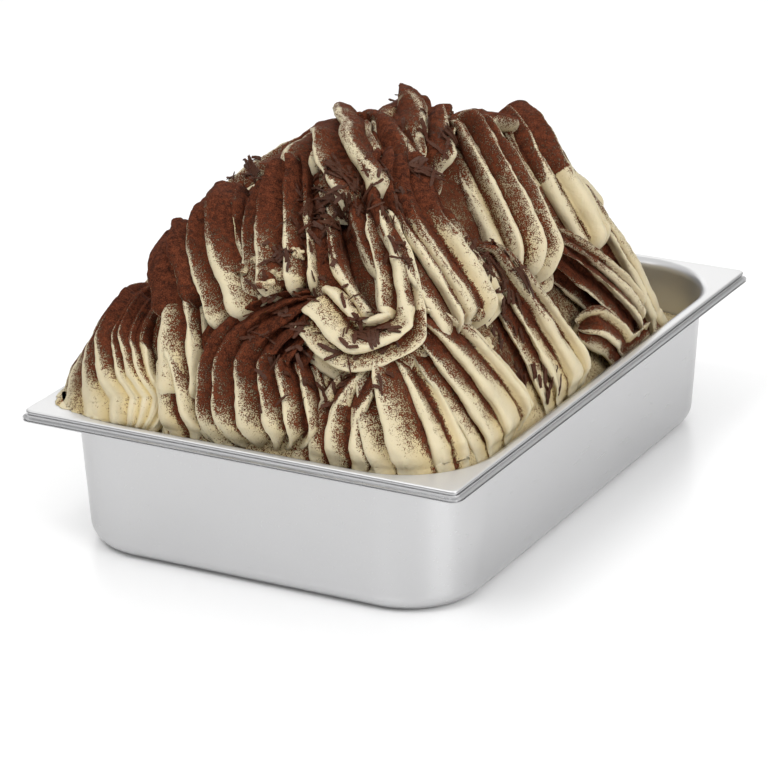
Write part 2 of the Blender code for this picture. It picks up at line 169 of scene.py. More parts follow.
LOBES = (
    # front left corner
    Lobe(((-99, -112), (-104, -142), (-98, -166)), (28, 54), 22, 12, 2.6, (4, 9), 16, (1.1, 0.1),
         0.0, 0.55, 17.0),
    Lobe(((-116, -150), (-98, -170), (-64, -172)), (8, 10), 11, 2, 1.6, (6, 2), 9, (0.1, 0.1),
         0.0, 0.5, 12.0),
    Lobe(((-50, -160), (-40, -170), (-34, -177)), (9, 15), 13, 4, 2.4, (0, 2), 7, (0.4, 0.15)),
    Lobe(((-54, -138), (-44, -156), (-38, -168)), (11, 16), 15, 4, 2.6, (2, 1), 8, (0.35, 0.05)),
    Lobe(((-66, -110), (-60, -127), (-47, -143)), (18, 19), 17, 4, 2.0, (9, 7), 8, (1.7, 1.1)),
    # its start carries extra cocoa, partly real and partly painted shade under the overhang of the lobe
    # above it
    Lobe(((22, -142), (0, -156), (10, -174)), (18, 42), 19, 11, 3.2, (1, 4), 9, (1.9, 0.45)),
    # front right corner
    Lobe(((64, -151), (56, -164), (58, -176)), (14, 24), 17, 6, 2.6, (2, 1), 7, (0.7, 0.3)),
    Lobe(((72, -148), (88, -158), (104, -167)), (12, 26), 17, 5, 3.4, (2, 1), 7, (0.5, 0.05)),
    Lobe(((80, -126), (103, -113), (121, -99)), (17, 35), 18, 7, 3.0, (4, 1), 7, (0.7, 0.05)),
    # right side
    Lobe(((80, -52), (104, -40), (121, -28)), (19, 32), 19, 7, 3.2, (4, 1), 8, (0.9, 0.0)),
    Lobe(((86, 6), (100, 34), (113, 62)), (12, 15), 16, 6, 3.0, (3, 2), 8, (1.0, 0.55)),
    Lobe(((118, 66), (122, 42), (113, 14)), (8, 9), 13, 3, 3.0, (3, 1), 7, (0.6, 0.75)),
    Lobe(((74, 66), (95, 84), (115, 98)), (13, 19), 15, 4, 2.6, (6, 0), 8, (0.75, 0.2)),
    # upper left
    Lobe(((-52, -88), (-38, -124), (-15, -145)), (15, 21), 18, 6, 2.8, (3, 3), 9, (1.15, 0.35)),
    Lobe(((-18, -88), (-6, -114), (8, -136)), (16, 21), 19, 6, 3.0, (1, 8), 9, (1.25, 0.4)),
    Lobe(((-28, -14), (-28, -44), (-20, -86)), (11, 17), 17, 4, 3.4, (2, 1), 9, (0.7, 0.5)),
    # middle of the front, with the curl beside it
    Lobe(((34, -64), (54, -88), (90, -94)), (22, 30), 22, 8, 3.2, (4, 7), 10, (1.6, 0.4)),
    Lobe(((47, -105), (64, -120), (73, -136), (55, -149), (31, -143)), (9, 17), 16, 5, 3.2, (5, 7), 8,
         (0.45, 0.1)),
    Lobe(((17, -114), (30, -132), (50, -142)), (9, 13), 15, 2, 3.2, (4, 2), 8, (0.7, 0.4)),
    # top
    Lobe(((-26, -8), (8, -70), (34, -94)), (12, 17), 19, 4, 4.0, (3, 4), 10, (0.7, 0.5)),
    Lobe(((-20, 6), (24, -46), (44, -56)), (9, 13), 16, 3, 3.4, (-4, 2), 8, (1.0, 0.7)),
    Lobe(((-6, 22), (6, 6), (22, -24)), (9, 17), 26, 3, 3.0, (2, -2), 9, (1.2, 0.6)),
    Lobe(((20, 10), (29, -8), (41, -26)), (8, 12), 20, 3, 3.0, (-2, 0), 7, (0.75, 0.6)),
    Lobe(((40, 44), (33, 22), (40, 0)), (10, 14), 21, 4, 3.2, (3, 0), 8, (0.95, 0.6)),
    Lobe(((40, 8), (63, -5), (86, -19)), (17, 19), 21, 6, 4.0, (5, 9), 13, (0.75, 0.3), -4.0),
    Lobe(((32, 62), (62, 46), (90, 48)), (10, 17), 19, 5, 3.4, (11, 4), 10, (0.8, 0.25)),
    # left side and back, which finish the heap as its front does
    Lobe(((-64, -58), (-88, -70), (-118, -88)), (20, 34), 19, 4, 3.8, (3, 1), 8, (0.75, 0.2)),
    Lobe(((-62, -2), (-90, -14), (-120, -22)), (21, 36), 20, 4, 4.0, (3, 2), 8, (0.75, 0.2)),
    Lobe(((-58, 48), (-86, 52), (-119, 44)), (20, 34), 19, 4, 4.0, (3, 2), 8, (0.75, 0.2)),
    Lobe(((-46, 80), (-70, 104), (-99, 126)), (21, 36), 19, 4, 3.8, (3, 2), 9, (0.75, 0.2)),
    Lobe(((-14, -18), (-46, -30), (-78, -50)), (15, 26), 20, 4, 3.8, (-5, 5), 10, (1.05, 0.3)),
    Lobe(((-8, 18), (-40, 26), (-80, 18)), (15, 27), 20, 4, 3.8, (-9, 5), 10, (1.05, 0.3)),
    Lobe(((-8, 48), (-32, 66), (-58, 88)), (15, 26), 20, 4, 3.8, (-6, 5), 10, (1.05, 0.3)),
    Lobe(((8, 56), (-4, 86), (-10, 122)), (17, 26), 21, 4, 4.0, (-6, 5), 10, (1.05, 0.25)),
    Lobe(((-18, 106), (-24, 134), (-28, 166)), (20, 34), 18, 4, 3.8, (2, 2), 8, (0.7, 0.2)),
    Lobe(((26, 56), (44, 82), (56, 108)), (15, 26), 20, 4, 3.8, (-2, 3), 10, (1.0, 0.25)),
    Lobe(((26, 108), (36, 132), (44, 158)), (20, 32), 17, 4, 3.8, (2, 1), 8, (0.7, 0.2)),
)

# Pieces of the heap: a name, and the first and last of its lobes
HEAP_PIECES = (
    ("gelato_front_lobes", 0, 9),
    ("gelato_right_lobes", 9, 13),
    ("gelato_middle_lobes", 13, 19),
    ("gelato_top_lobes", 19, 26),
    ("gelato_left_lobes", 26, 32),
    ("gelato_back_lobes", 32, 37),
)

# Large shavings: where each cluster lies, how far it spreads, how many, and their length
Cluster = namedtuple("Cluster", "spot spread count length")

CLUSTERS = (
    Cluster((-36, -92), 4, 1, 16),
    Cluster((14, -104), 11, 5, 15),
    Cluster((10, -138), 13, 4, 15),
    Cluster((62, -148), 9, 3, 13),
    Cluster((44, -62), 6, 2, 20),
    Cluster((84, -58), 10, 4, 17),
    Cluster((112, -62), 3, 1, 14),
    Cluster((30, -18), 8, 2, 15),
)
# Fine splinters lie round the large shavings, and in more places
FINE_CLUSTERS = CLUSTERS + (
    Cluster((36, -98), 9, 3, 14),
    Cluster((22, -113), 8, 3, 14),
    Cluster((94, -68), 9, 3, 15),
    Cluster((51, -104), 4, 1, 14),
    Cluster((60, -116), 4, 1, 14),
    Cluster((118, -51), 3, 1, 14),
    Cluster((30, -150), 16, 4, 13),
    Cluster((-62, -44), 8, 2, 15),
    Cluster((-30, 44), 8, 2, 15),
    Cluster((20, 116), 8, 2, 15),
)
SHAVING_BEND = 3.0
STRIPS = 3
RAGGED = 0.4

# Two passes over the clusters: a seed, the clusters, how many copies of each shaving, their share
# of the spread, and the ranges of length and size; large ones have no size and are split in strips
SHAVING_PASSES = (
    (7, CLUSTERS, 1, 1.0, (0.7, 1.1), None),
    (8, FINE_CLUSTERS, 11, 1.4, (0.35, 1.15), (0.12, 0.42)),
)

# Torn bits of gelato: where each lies, and its half length
CLUMPS = (
    ((-9, -131), 4.5), ((6, -135), 5.0), ((1, -139), 4.0), ((12, -128), 3.5), ((-17, -135), 3.5),
    ((99, -91), 5.5), ((92, -96), 4.0), ((-84, -34), 4.5), ((6, 128), 4.5),
)

# Camera: where it stands round the pan, and how the pan lies in its picture
PICTURE = 768
CAMERA_TURN = 28.158
CAMERA_RISE = 21.151
CAMERA_ROLL = -0.796
CAMERA_FOCAL = 3903.7
CAMERA_DISTANCE = 2.1328
CAMERA_ORIGIN = (401.857, 474.25)
SENSOR = 36.0

# Studio: half the floor's width and its glow, the sky from its horizon up, and the lights, each
# with its setting, place, target and size
FLOOR_HALF = 12.0
FLOOR_GLOW = 0.04
SKY_RANGE = (0.15, 0.9)
SKY_HORIZON = (0.08, 0.08, 0.08)
LIGHTS = (
    ("key_light", "key", (-0.22, -1.25, 1.7), (0, 0, 0.12), (0.8, 0.8)),
    ("back_card", "back", (-1.3, 2.4, 1.15), (0, 0, 0.08), (2.4, 1.1)),
    ("fill_light", "fill", (1.5, -0.6, 1.0), (0, 0, 0.12), (1.0, 1.0)),
)


class PanSettings(bpy.types.PropertyGroup):
    """Sizes and finish of the steel pan."""
    width: bpy.props.FloatProperty(name="Width", description="Rim outline along X", default=0.25,
                                   unit="LENGTH")
    length: bpy.props.FloatProperty(name="Length", description="Rim outline along Y", default=0.36,
                                    unit="LENGTH")
    height: bpy.props.FloatProperty(name="Height", description="From the table to the rim", default=0.08,
                                    unit="LENGTH")
    sheet: bpy.props.FloatProperty(name="Sheet", description="Thickness of the steel", default=0.0009,
                                   unit="LENGTH")
    steel: bpy.props.FloatVectorProperty(name="Steel", description="Colour of the steel", size=3,
                                         subtype="COLOR", default=(0.56, 0.56, 0.565))
    roughness: bpy.props.FloatProperty(name="Roughness", description="Roughness of the satin finish",
                                       default=0.28, subtype="FACTOR", min=0, max=1)


class HeapSettings(bpy.types.PropertyGroup):
    """Sizes and colours of the gelato heap."""
    rise: bpy.props.FloatProperty(name="Rise", description="From the rim to the top of the heap",
                                  default=0.134, unit="LENGTH")
    pitch: bpy.props.FloatProperty(name="Mesh pitch", description="Distance between mesh points",
                                   default=0.0011, unit="LENGTH")
    cream: bpy.props.FloatVectorProperty(name="Cream", description="Colour of the gelato", size=3,
                                         subtype="COLOR", default=(0.67, 0.585, 0.40))
    # painted shade: a darker, yellower cream put deep between the ridges, like light bounced in the furrows
    hollow: bpy.props.FloatVectorProperty(name="Hollow", description="Colour deep between the ridges",
                                          size=3, subtype="COLOR", default=(0.60, 0.45, 0.19))
    cocoa: bpy.props.FloatVectorProperty(name="Cocoa", description="Colour of the dark cocoa grains", size=3,
                                         subtype="COLOR", default=(0.026, 0.0068, 0.0028))
    cocoa_light: bpy.props.FloatVectorProperty(name="Light cocoa", description="Colour of the light grains",
                                               size=3, subtype="COLOR", default=(0.155, 0.040, 0.016))
    dust: bpy.props.FloatProperty(name="Cocoa amount", description="How much cocoa lies on the heap",
                                  default=1.0, min=0, max=2)


class ShavingSettings(bpy.types.PropertyGroup):
    """Sizes and colour of the chocolate shavings."""
    width: bpy.props.FloatProperty(name="Width", description="Width of a large shaving", default=0.006,
                                   unit="LENGTH")
    thick: bpy.props.FloatProperty(name="Thickness", description="Thickness of a large shaving",
                                   default=0.0016, unit="LENGTH")
    chocolate: bpy.props.FloatVectorProperty(name="Chocolate", description="Colour of the chocolate", size=3,
                                             subtype="COLOR", default=(0.060, 0.024, 0.013))


class StageSettings(bpy.types.PropertyGroup):
    """Floor and light of the studio."""
    floor: bpy.props.FloatVectorProperty(name="Floor", description="Colour of the floor", size=3,
                                         subtype="COLOR", default=(0.93, 0.93, 0.93))
    key: bpy.props.FloatProperty(name="Key light", description="Strength of the light from the front",
                                 default=14.0, unit="POWER")
    fill: bpy.props.FloatProperty(name="Fill light", description="Strength of the light from the right",
                                  default=14.0, unit="POWER")
    back: bpy.props.FloatProperty(name="Back card", description="Strength of the card that the rim mirrors",
                                  default=14.0, unit="POWER")
    sky: bpy.props.FloatProperty(name="Sky", description="Strength of the light from above", default=1.02)


def lattice_noise(points, size, seed):
    """Smooth noise from -1 to 1 over points in space, from seeded values on a lattice."""
    place = np.asarray(points) / size
    cell = np.floor(place).astype(np.int64)
    part = place - cell
    part = part * part * (3 - 2 * part)
    total = np.zeros(place.shape[:-1])
    for corner in range(8):
        step = np.array([(corner >> axis) & 1 for axis in range(3)])
        spot = cell + step
        key = spot[..., 0] * 73856093 ^ spot[..., 1] * 19349663 ^ spot[..., 2] * 83492791 ^ seed * 2654435761
        key = (key ^ (key >> 13)) * 1274126177 & 0xFFFFFFFF
        key = (key ^ (key >> 16)) & 0xFFFF
        weight = np.prod(np.where(step, part, 1 - part), axis=-1)
        total += weight * (key / 32767.5 - 1)
    return total


def smooth_step(low, high, value):
    """0 below low and 1 above high, with a smooth turn between them."""
    t = np.clip((value - low) / (high - low), 0, 1)
    return t * t * (3 - 2 * t)


def rounded_ring(pan, inset, height, corner):
    """Ring of a rounded rectangle that lies inset inside the rim's outline."""
    half_x = pan.width / MM / 2 - inset - corner
    half_y = pan.length / MM / 2 - inset - corner
    ring = []
    for quarter, (side_x, side_y) in enumerate(((1, 1), (-1, 1), (-1, -1), (1, -1))):
        for step in range(CORNER_STEPS + 1):
            turn = math.radians(90 * (quarter + step / CORNER_STEPS))
            ring.append((side_x * half_x + corner * math.cos(turn),
                         side_y * half_y + corner * math.sin(turn), height))
    return ring


def wall_inset(pan, height):
    """Inset of the well's wall at a height, from its mouth down to its bottom."""
    top = pan.height / MM
    return MOUTH_INSET + WALL_DRAFT * (top - height) / top


def wall_corner(pan, height):
    """Corner radius of the well at a height."""
    return BOTTOM_CORNER + (MOUTH_CORNER - BOTTOM_CORNER) * height / (pan.height / MM)


def turns(last, step):
    """Pairs of 1 - cosine and 1 - sine for angles from 0 to last, in degrees."""
    angles = [math.radians(angle) for angle in range(0, last + 1, step)]
    return [(1 - math.cos(angle), 1 - math.sin(angle)) for angle in angles]


def well_rings(pan, offset):
    """Rings of the well's skin, offset outward into the steel, from the bottom up to the rim."""
    sheet = pan.sheet / MM
    floor = sheet - offset
    bend = BOTTOM_ROUND - sheet + offset
    rings = []
    for up, out in turns(90, 10):
        height = floor + bend * up
        inset = wall_inset(pan, height) - offset + bend * out
        corner = wall_corner(pan, height) + offset - bend * out
        rings.append(rounded_ring(pan, inset, height, corner))
    shoulder = MOUTH_ROUND - offset
    for out, down in turns(90, 15):
        height = pan.height / MM - offset - shoulder * down
        reach = shoulder * out + offset
        rings.append(rounded_ring(pan, MOUTH_INSET - reach, height, MOUTH_CORNER + reach))
    return rings


def groove_line(inset, high, low, slant):
    """Insets and heights of a groove in the lip."""
    return [(inset, high), (inset + GROOVE, high - slant), (inset + GROOVE, low + slant), (inset, low)]


def lip_rings(pan):
    """Rings from the rim's top edge down the lip, round its lower edge and back up inside."""
    top = pan.height / MM
    sheet = pan.sheet / MM
    step_z = top - LIP_DROP
    foot_z = top - LIP_HEIGHT
    line = [(EDGE_ROUND * out, top - EDGE_ROUND * down) for down, out in turns(90, 18)]
    line += groove_line(0.0, top - GROOVE_TOP, top - GROOVE_END, 0.2)
    line += [(-0.1, step_z + 0.3), (-0.4 * LIP_STEP, step_z)]
    line += groove_line(-LIP_STEP, step_z - 0.4, foot_z + HEM_ROUND, 0.15)[:3]
    line += [(HEM_ROUND * out - LIP_STEP, foot_z + HEM_ROUND * up) for out, up in turns(180, 30)]
    line += [(2 * HEM_ROUND - LIP_STEP, step_z - 1.8), (sheet, step_z - sheet),
             (sheet, top - EDGE_ROUND), (EDGE_ROUND + sheet, top - sheet)]
    return [rounded_ring(pan, inset, height, max(RIM_CORNER - inset, 1.5)) for inset, height in line]


def closed_faces(rows, columns):
    """Faces of closed rings in a row, with a fan over each end."""
    index = np.arange(rows * columns).reshape(rows, columns)
    after = np.roll(index, -1, axis=1)
    sides = np.stack((index[:-1], after[:-1], after[1:], index[1:]), -1).reshape(-1, 4).tolist()
    start, end = rows * columns, rows * columns + 1
    fans = [(b, a, start) for a, b in zip(index[0], after[0])]
    fans += [(a, b, end) for a, b in zip(index[-1], after[-1])]
    return sides + [[int(v) for v in fan] for fan in fans]


def mesh_piece(name, points, faces, marks=None):
    """An object from points in millimetres and faces, with named numbers at its points."""
    mesh = bpy.data.meshes.new(name)
    mesh.from_pydata((np.asarray(points) * MM).tolist(), [], faces)
    for mark, values in (marks or {}).items():
        field = mesh.attributes.new(mark, "FLOAT", "POINT")
        field.data.foreach_set("value", np.asarray(values, np.float32))
    mesh.shade_smooth()
    mesh.validate()
    piece = bpy.data.objects.new(name, mesh)
    bpy.context.scene.collection.objects.link(piece)
    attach(piece, "root")
    return piece


def skin(rings):
    """Points and faces of closed rings of equal length, with both ends filled."""
    rings = np.array(rings, float)
    ends = np.array((rings[0].mean(axis=0), rings[-1].mean(axis=0)))
    points = np.vstack((rings.reshape(-1, 3), ends))
    return points, closed_faces(rings.shape[0], rings.shape[1])


def join_skins(skins):
    """Points and faces of many skinned pieces as one."""
    points, faces, count = [], [], 0
    for skin_points, skin_faces in skins:
        points.append(skin_points)
        faces += [[corner + count for corner in face] for face in skin_faces]
        count += len(skin_points)
    return np.vstack(points), faces


def heap_reach(x, y):
    """How far a plan point lies from the heap's level top: 0 there and 1 at its foot."""
    across = np.abs(x - HEAP_TOP[0]) / np.where(x > HEAP_TOP[0], HEAP_HALF_WIDTH - HEAP_TOP[0],
                                                HEAP_HALF_WIDTH + HEAP_TOP[0])
    along = y - HEAP_TOP[1]
    front = np.maximum(0.0, -along - HEAP_RIDGE) / (HEAP_FRONT + HEAP_TOP[1] - HEAP_RIDGE)
    back = np.maximum(0.0, along - HEAP_RIDGE) / (HEAP_BACK - HEAP_TOP[1] - HEAP_RIDGE)
    power = np.where(along < 0, FRONT_SQUARENESS, BACK_SQUARENESS)
    return (across ** power + front ** power + back ** power) ** (1 / power)


def crown_height(x, y):
    """Height of the heap's outer surface over a plan point."""
    reach = heap_reach(x, y)
    inside = np.maximum(0.0, 1 - np.minimum(reach, 1.0) ** HEAP_SLOPE) ** HEAP_SHOULDER
    settings = bpy.context.scene
    return (settings.gelato_pan.height + settings.gelato_heap.rise * inside) / MM \
        - FOOT_SLOPE * np.maximum(0.0, reach - 1)


def crown_normal(x, y):
    """Outward normal of the heap over a plan point, from height differences."""
    step = 4.0
    slope_x = (crown_height(x + step, y) - crown_height(x - step, y)) / (2 * step)
    slope_y = (crown_height(x, y + step) - crown_height(x, y - step)) / (2 * step)
    normal = np.stack((-slope_x, -slope_y, np.ones_like(slope_x)), -1)
    return normal / np.linalg.norm(normal, axis=-1, keepdims=True)


def curve_through(points, share):
    """Points of a smooth curve through plan points, at shares from 0 to 1 of its length."""
    knots = np.array(points, float)
    knots = np.vstack((2 * knots[0] - knots[1], knots, 2 * knots[-1] - knots[-2]))
    place = np.clip(share, 0, 1) * (len(knots) - 3)
    span = np.minimum(place.astype(int), len(knots) - 4)
    t = (place - span)[:, None]
    a, b, c, d = (knots[span + k] for k in range(4))
    return 0.5 * (2 * b + (c - a) * t + (2 * a - 5 * b + 4 * c - d) * t ** 2
                  + (3 * b - a - 3 * c + d) * t ** 3)


def ridge_profile(place, lean):
    """Height over one ridge, whose crest leans to the downhill side, and how open it lies to dust.

    The long uphill flank is open: 1 in its valley and 0 at the crest. The steep one is below 0.
    """
    crest = 0.5 + LEAN_SHIFT * np.abs(lean)
    turned = np.where(lean >= 0, place, 1 - place)
    height = np.abs(np.sin(math.pi * turned ** (math.log(0.5) / np.log(crest)))) ** RIDGE_POWER
    exposed = np.where(turned < crest, 1 - turned / crest, -0.45 * (turned - crest) / (1 - crest))
    return height, exposed


def unit(vectors):
    """The vectors, each one long."""
    return vectors / np.linalg.norm(vectors, axis=-1, keepdims=True)


def grid_normals(points):
    """Outward normals of a grid whose rows follow the stroke."""
    return unit(np.cross(np.gradient(points, axis=1), np.gradient(points, axis=0)) + 1e-12)


def smooth_along(values, reach):
    """The values with each row averaged over its neighbours, up to reach rows away."""
    weights = np.hanning(2 * reach + 3)[1:-1]
    before = 2 * values[0] - values[reach:0:-1]
    after = 2 * values[-1] - values[-2:-reach - 2:-1]
    padded = np.concatenate((before, values, after))
    columns = [np.convolve(column, weights / weights.sum(), mode="valid") for column in padded.T]
    return np.stack(columns, -1)


def lobe_surface(lobe, seed, pitch):
    """Grid of points over one lobe, with its ridges' profile and its place along the stroke."""
    rng = np.random.default_rng(seed)
    girth = 2 * lobe.widths[1] + 2 * lobe.thick
    steps = max(6, round(girth / lobe.ridges / pitch))
    columns = steps * lobe.ridges
    edges = np.concatenate(([0.0], np.cumsum(rng.uniform(0.75, 1.3, lobe.ridges))))
    edges /= edges[-1]
    strengths = 1 + rng.uniform(-RIDGE_UNEVEN, RIDGE_UNEVEN, lobe.ridges)
    number = np.minimum(np.arange(columns + 1) // steps, lobe.ridges - 1)
    place = np.arange(columns + 1) / steps - number
    across_share = 2 * (edges[number] + place * np.diff(edges)[number]) - 1
    angle = np.radians(ARCH_HALF_ANGLE * across_share)
    arch_x = np.sign(np.sin(angle)) * np.abs(np.sin(angle)) ** (2 / ARCH_SQUARENESS)
    arch_z = np.sign(np.cos(angle)) * np.abs(np.cos(angle)) ** (2 / ARCH_SQUARENESS)

    trial = curve_through(lobe.path, np.linspace(0, 1, 30))
    climb = np.column_stack((trial, crown_height(trial[:, 0], trial[:, 1])))
    length = np.linalg.norm(np.diff(climb, axis=0), axis=1).sum()
    rows = max(8, round(length / pitch))
    share = np.linspace(0, 1, rows + 1)
    plan = curve_through(lobe.path, share)
    normal = crown_normal(plan[:, 0], plan[:, 1])
    spine = np.column_stack((plan, crown_height(plan[:, 0], plan[:, 1])))
    if lobe.overhang:
        spine = smooth_along(spine, OVERHANG_ROWS)
        normal = unit(smooth_along(normal, OVERHANG_ROWS))
    forward = unit(np.gradient(spine, axis=0))
    across = unit(np.cross(forward, normal))
    lean = np.clip(LEAN_BASE - 3 * across[:, 2], -1, 1)
    lift = lobe.lift[0] + (lobe.lift[1] - lobe.lift[0]) * share

    frames = [(0, -math.sin(math.radians(a)), math.cos(math.radians(a))) for a in START_ANGLES]
    frames += [(row, 0.0, 1.0) for row in range(rows + 1)]
    frames += [(rows, math.sin(math.radians(a)), math.cos(math.radians(a))) for a in NOSE_ANGLES]
    row, reach, scale = (np.array(values) for values in zip(*frames))
    along = share[row]
    start = START_NARROW * lobe.widths[0]
    width = start + (lobe.widths[1] - start) * along ** SPREAD
    profile, exposed = ridge_profile(place[None, :], lean[row][:, None])
    depth = RELIEF_SCALE * lobe.relief * strengths[number][None, :]
    if lobe.fade:
        depth = depth * (1 - FADED * smooth_step(1 - lobe.fade, 1.0, along))[:, None]
    ridge = profile * depth - 0.5 * RELIEF_SCALE * lobe.relief
    curl = CURL * lean[row][:, None] * depth * (profile - 0.5)
    even = FADED if lobe.fade else 0.0
    ragged = even + (1 - even) * profile * strengths[number]
    nose = lobe.nose * (NOSE_EVEN + (1 - NOSE_EVEN) * ragged)
    base = spine[row] + normal[row] * (lift[row] - lobe.thick)[:, None]
    fullness = np.where(reach > 0, scale ** END_FULLNESS, scale)
    side = fullness[:, None] * (width[:, None] * arch_x + ridge * np.sin(angle) + curl)
    rise = scale[:, None] * (lobe.thick * arch_z + ridge * np.cos(angle))
    ahead = reach[:, None] * nose + lobe.slant * across_share * (along ** 2)[:, None]
    points = (base[:, None] + side[..., None] * across[row][:, None]
              + rise[..., None] * normal[row][:, None] + ahead[..., None] * forward[row][:, None])
    keel = base - SINK * scale[:, None] * normal[row] + (reach * lobe.nose * 0.5)[:, None] * forward[row]
    along = np.broadcast_to(along[:, None], profile.shape)
    return points, keel, profile, exposed, along, across_share, length


def roughen(points, seed, across_share, along, length, girth):
    """Move the points of a lobe along their normals: lumps, fine grain and strokes."""
    normal = grid_normals(points)
    place = (across_share * girth / 2, along * length / STROKE_LENGTH, float(seed * 9))
    height, size, shift = STROKES
    move = height * lattice_noise(np.stack(np.broadcast_arrays(*place), -1), size, seed + shift)
    for height, size, shift in LUMPS:
        move += height * lattice_noise(points, size, seed + shift)
    return points + normal * move[..., None]


def outside_of(points, inset, corner):
    """How far points lie outside a rounded rectangle, and the plan direction that way."""
    pan = bpy.context.scene.gelato_pan
    half = np.stack(np.broadcast_arrays(pan.width / MM / 2 - inset - corner,
                                        pan.length / MM / 2 - inset - corner), -1)
    beyond = np.abs(points[..., :2]) - half
    outer = np.maximum(beyond, 0)
    distance = np.linalg.norm(outer, axis=-1) + np.minimum(beyond.max(axis=-1), 0) - corner
    return distance, unit(outer + 1e-9) * np.sign(points[..., :2])


def tuck_in(points, overhang):
    """Hold a lobe's foot inside the mouth of the well, or let it lie over the rim."""
    top = bpy.context.scene.gelato_pan.height / MM
    distance, way = outside_of(points, MOUTH_INSET + MOUTH_GAP, MOUTH_CORNER)
    allowed = overhang + FOOT_BULGE * np.maximum(0.0, points[..., 2] - top - 1)
    softness = FOOT_SOFTNESS + OVERHANG_SOFTNESS * overhang
    excess = softness * np.logaddexp(0.0, (distance - allowed) / softness)
    points = points.copy()
    points[..., :2] -= way * excess[..., None]
    return points


def keep_clear(points):
    """Keep points of the heap inside the well, or over the rim, and under the solid's top."""
    pan = bpy.context.scene.gelato_pan
    top = pan.height / MM + CLEARANCE
    height = points[:, 2]
    distance, way = outside_of(points, wall_inset(pan, height) + CLEARANCE, wall_corner(pan, height))
    low = (height < top) & (distance > 0)
    raised = low & (distance > 1.5 * (top - height))
    pulled = low & ~raised
    push = way * distance[:, None]
    points = points.copy()
    points[pulled, :2] -= push[pulled]
    points[raised, 2] = top
    low_corner, high_corner = (np.array(corner) / MM for corner in SOLID_BOX)
    return np.clip(points, low_corner + BOX_MARGINS[0], high_corner - BOX_MARGINS[1])


def dust_amount(lobe, seed, grid, profile, exposed, along):
    """Cocoa at each point of a lobe, thick on the flanks that lie open to it and in its valleys, where it is
    partly real cocoa and partly painted shade.
    """
    amount = lobe.dust[0] + (lobe.dust[1] - lobe.dust[0]) * smooth_step(0.05, 0.95, along)
    flank = (DUST_FLANK * exposed - DUST_FLANK_LOSS) * smooth_step(0.0, 0.25, amount)
    level = DUST_LEVEL * (grid_normals(grid)[..., 2] - 0.5)
    patch = DUST_PATCH * lattice_noise(grid, 16.0, seed + 7)
    # partly painted shade: extra dark cocoa deep in the valleys, where shade falls
    valley_dust_and_shade = DUST_VALLEY_AND_SHADE * smooth_step(0.62, 0.97, 1 - profile)
    if lobe.fade:
        valley_dust_and_shade *= 1 - smooth_step(0.8 - lobe.fade, 0.8, along)
    crest = DUST_CREST * smooth_step(0.965, 1.0, profile)
    amount = 0.02 + amount * (0.75 + 0.5 * amount) + level + patch + flank + valley_dust_and_shade - crest
    return DUST_FULL * np.tanh(amount / DUST_FULL)


def lobes_piece(name, first, last):
    """One piece of the heap: the fine surfaces of some of its lobes."""
    heap = bpy.context.scene.gelato_heap
    skins, dust, hollow = [], [], []
    pad = ((0, 0), (0, 1))
    for seed in range(first, last):
        lobe = LOBES[seed]
        grid, keel, profile, exposed, along, across_share, length = lobe_surface(lobe, seed, heap.pitch / MM)
        grid = tuck_in(grid, lobe.overhang)
        grid = roughen(grid, seed, across_share, along, length, 2 * lobe.widths[1] + 2 * lobe.thick)
        amount = dust_amount(lobe, seed, grid, profile, exposed, along)
        skins.append(skin(np.concatenate((grid, keel[:, None]), axis=1)))
        # the dust mark also carries the painted shade of the valleys
        dust.append(np.concatenate((np.pad(amount, pad).ravel(), (0, 0))))
        # painted shade mark: how deep each point lies between the ridges
        hollow.append(np.concatenate((np.pad(1 - profile, pad).ravel(), (0, 0))))
    points, faces = join_skins(skins)
    marks = {"dust": np.concatenate(dust) * heap.dust, "hollow": np.concatenate(hollow)}
    return mesh_piece(name, keep_clear(points), faces, marks)


def core_piece():
    """The filling under the lobes, from the well's bottom up into the heap."""
    pan = bpy.context.scene.gelato_pan
    floor = pan.sheet / MM + CLEARANCE
    inset, corner = wall_inset(pan, FILL_LEVEL) + CLEARANCE, wall_corner(pan, FILL_LEVEL)
    rings = [rounded_ring(pan, 26.0, floor, 30.0), rounded_ring(pan, MOUTH_INSET + 8, 14.0, MOUTH_CORNER),
             rounded_ring(pan, inset, FILL_LEVEL, corner)]
    outline = np.array(rings[-1])[:, :2]
    for share in np.linspace(0.985, 0.05, CORE_ROWS):
        spot = outline * share
        height = crown_height(spot[:, 0], spot[:, 1]) - CORE_DEPTH
        rings.append(np.column_stack((spot, np.maximum(height, FILL_LEVEL))))
    points, faces = skin(rings)
    lumps = 2.0 * lattice_noise(points, 16.0, 3) + 0.8 * lattice_noise(points, 5.0, 4)
    points[:, 2] += np.where(points[:, 2] > FILL_LEVEL - 1, np.maximum(lumps, -1.5), 0)
    dust = 0.2 + 0.6 * smooth_step(80.0, 130.0, points[:, 2]) + 0.25 * lattice_noise(points, 14.0, 5)
    # painted shade of middling depth over the whole core
    marks = {"dust": dust, "hollow": np.full(len(points), 0.6)}
    return mesh_piece("gelato_core", keep_clear(points), faces, marks)


def link(tree, source, target):
    """Join an output socket to an input socket."""
    tree.links.new(source, target)


def new_group(name, inputs, outputs):
    """An empty shader node group with named sockets, given as name, kind and default."""
    group = bpy.data.node_groups.new(name, "ShaderNodeTree")
    for label, kind, default in inputs:
        socket = group.interface.new_socket(label, in_out="INPUT", socket_type=kind)
        if default is not None:
            socket.default_value = default
    for label, kind in outputs:
        group.interface.new_socket(label, in_out="OUTPUT", socket_type=kind)
    return group, group.nodes.new("NodeGroupInput"), group.nodes.new("NodeGroupOutput")


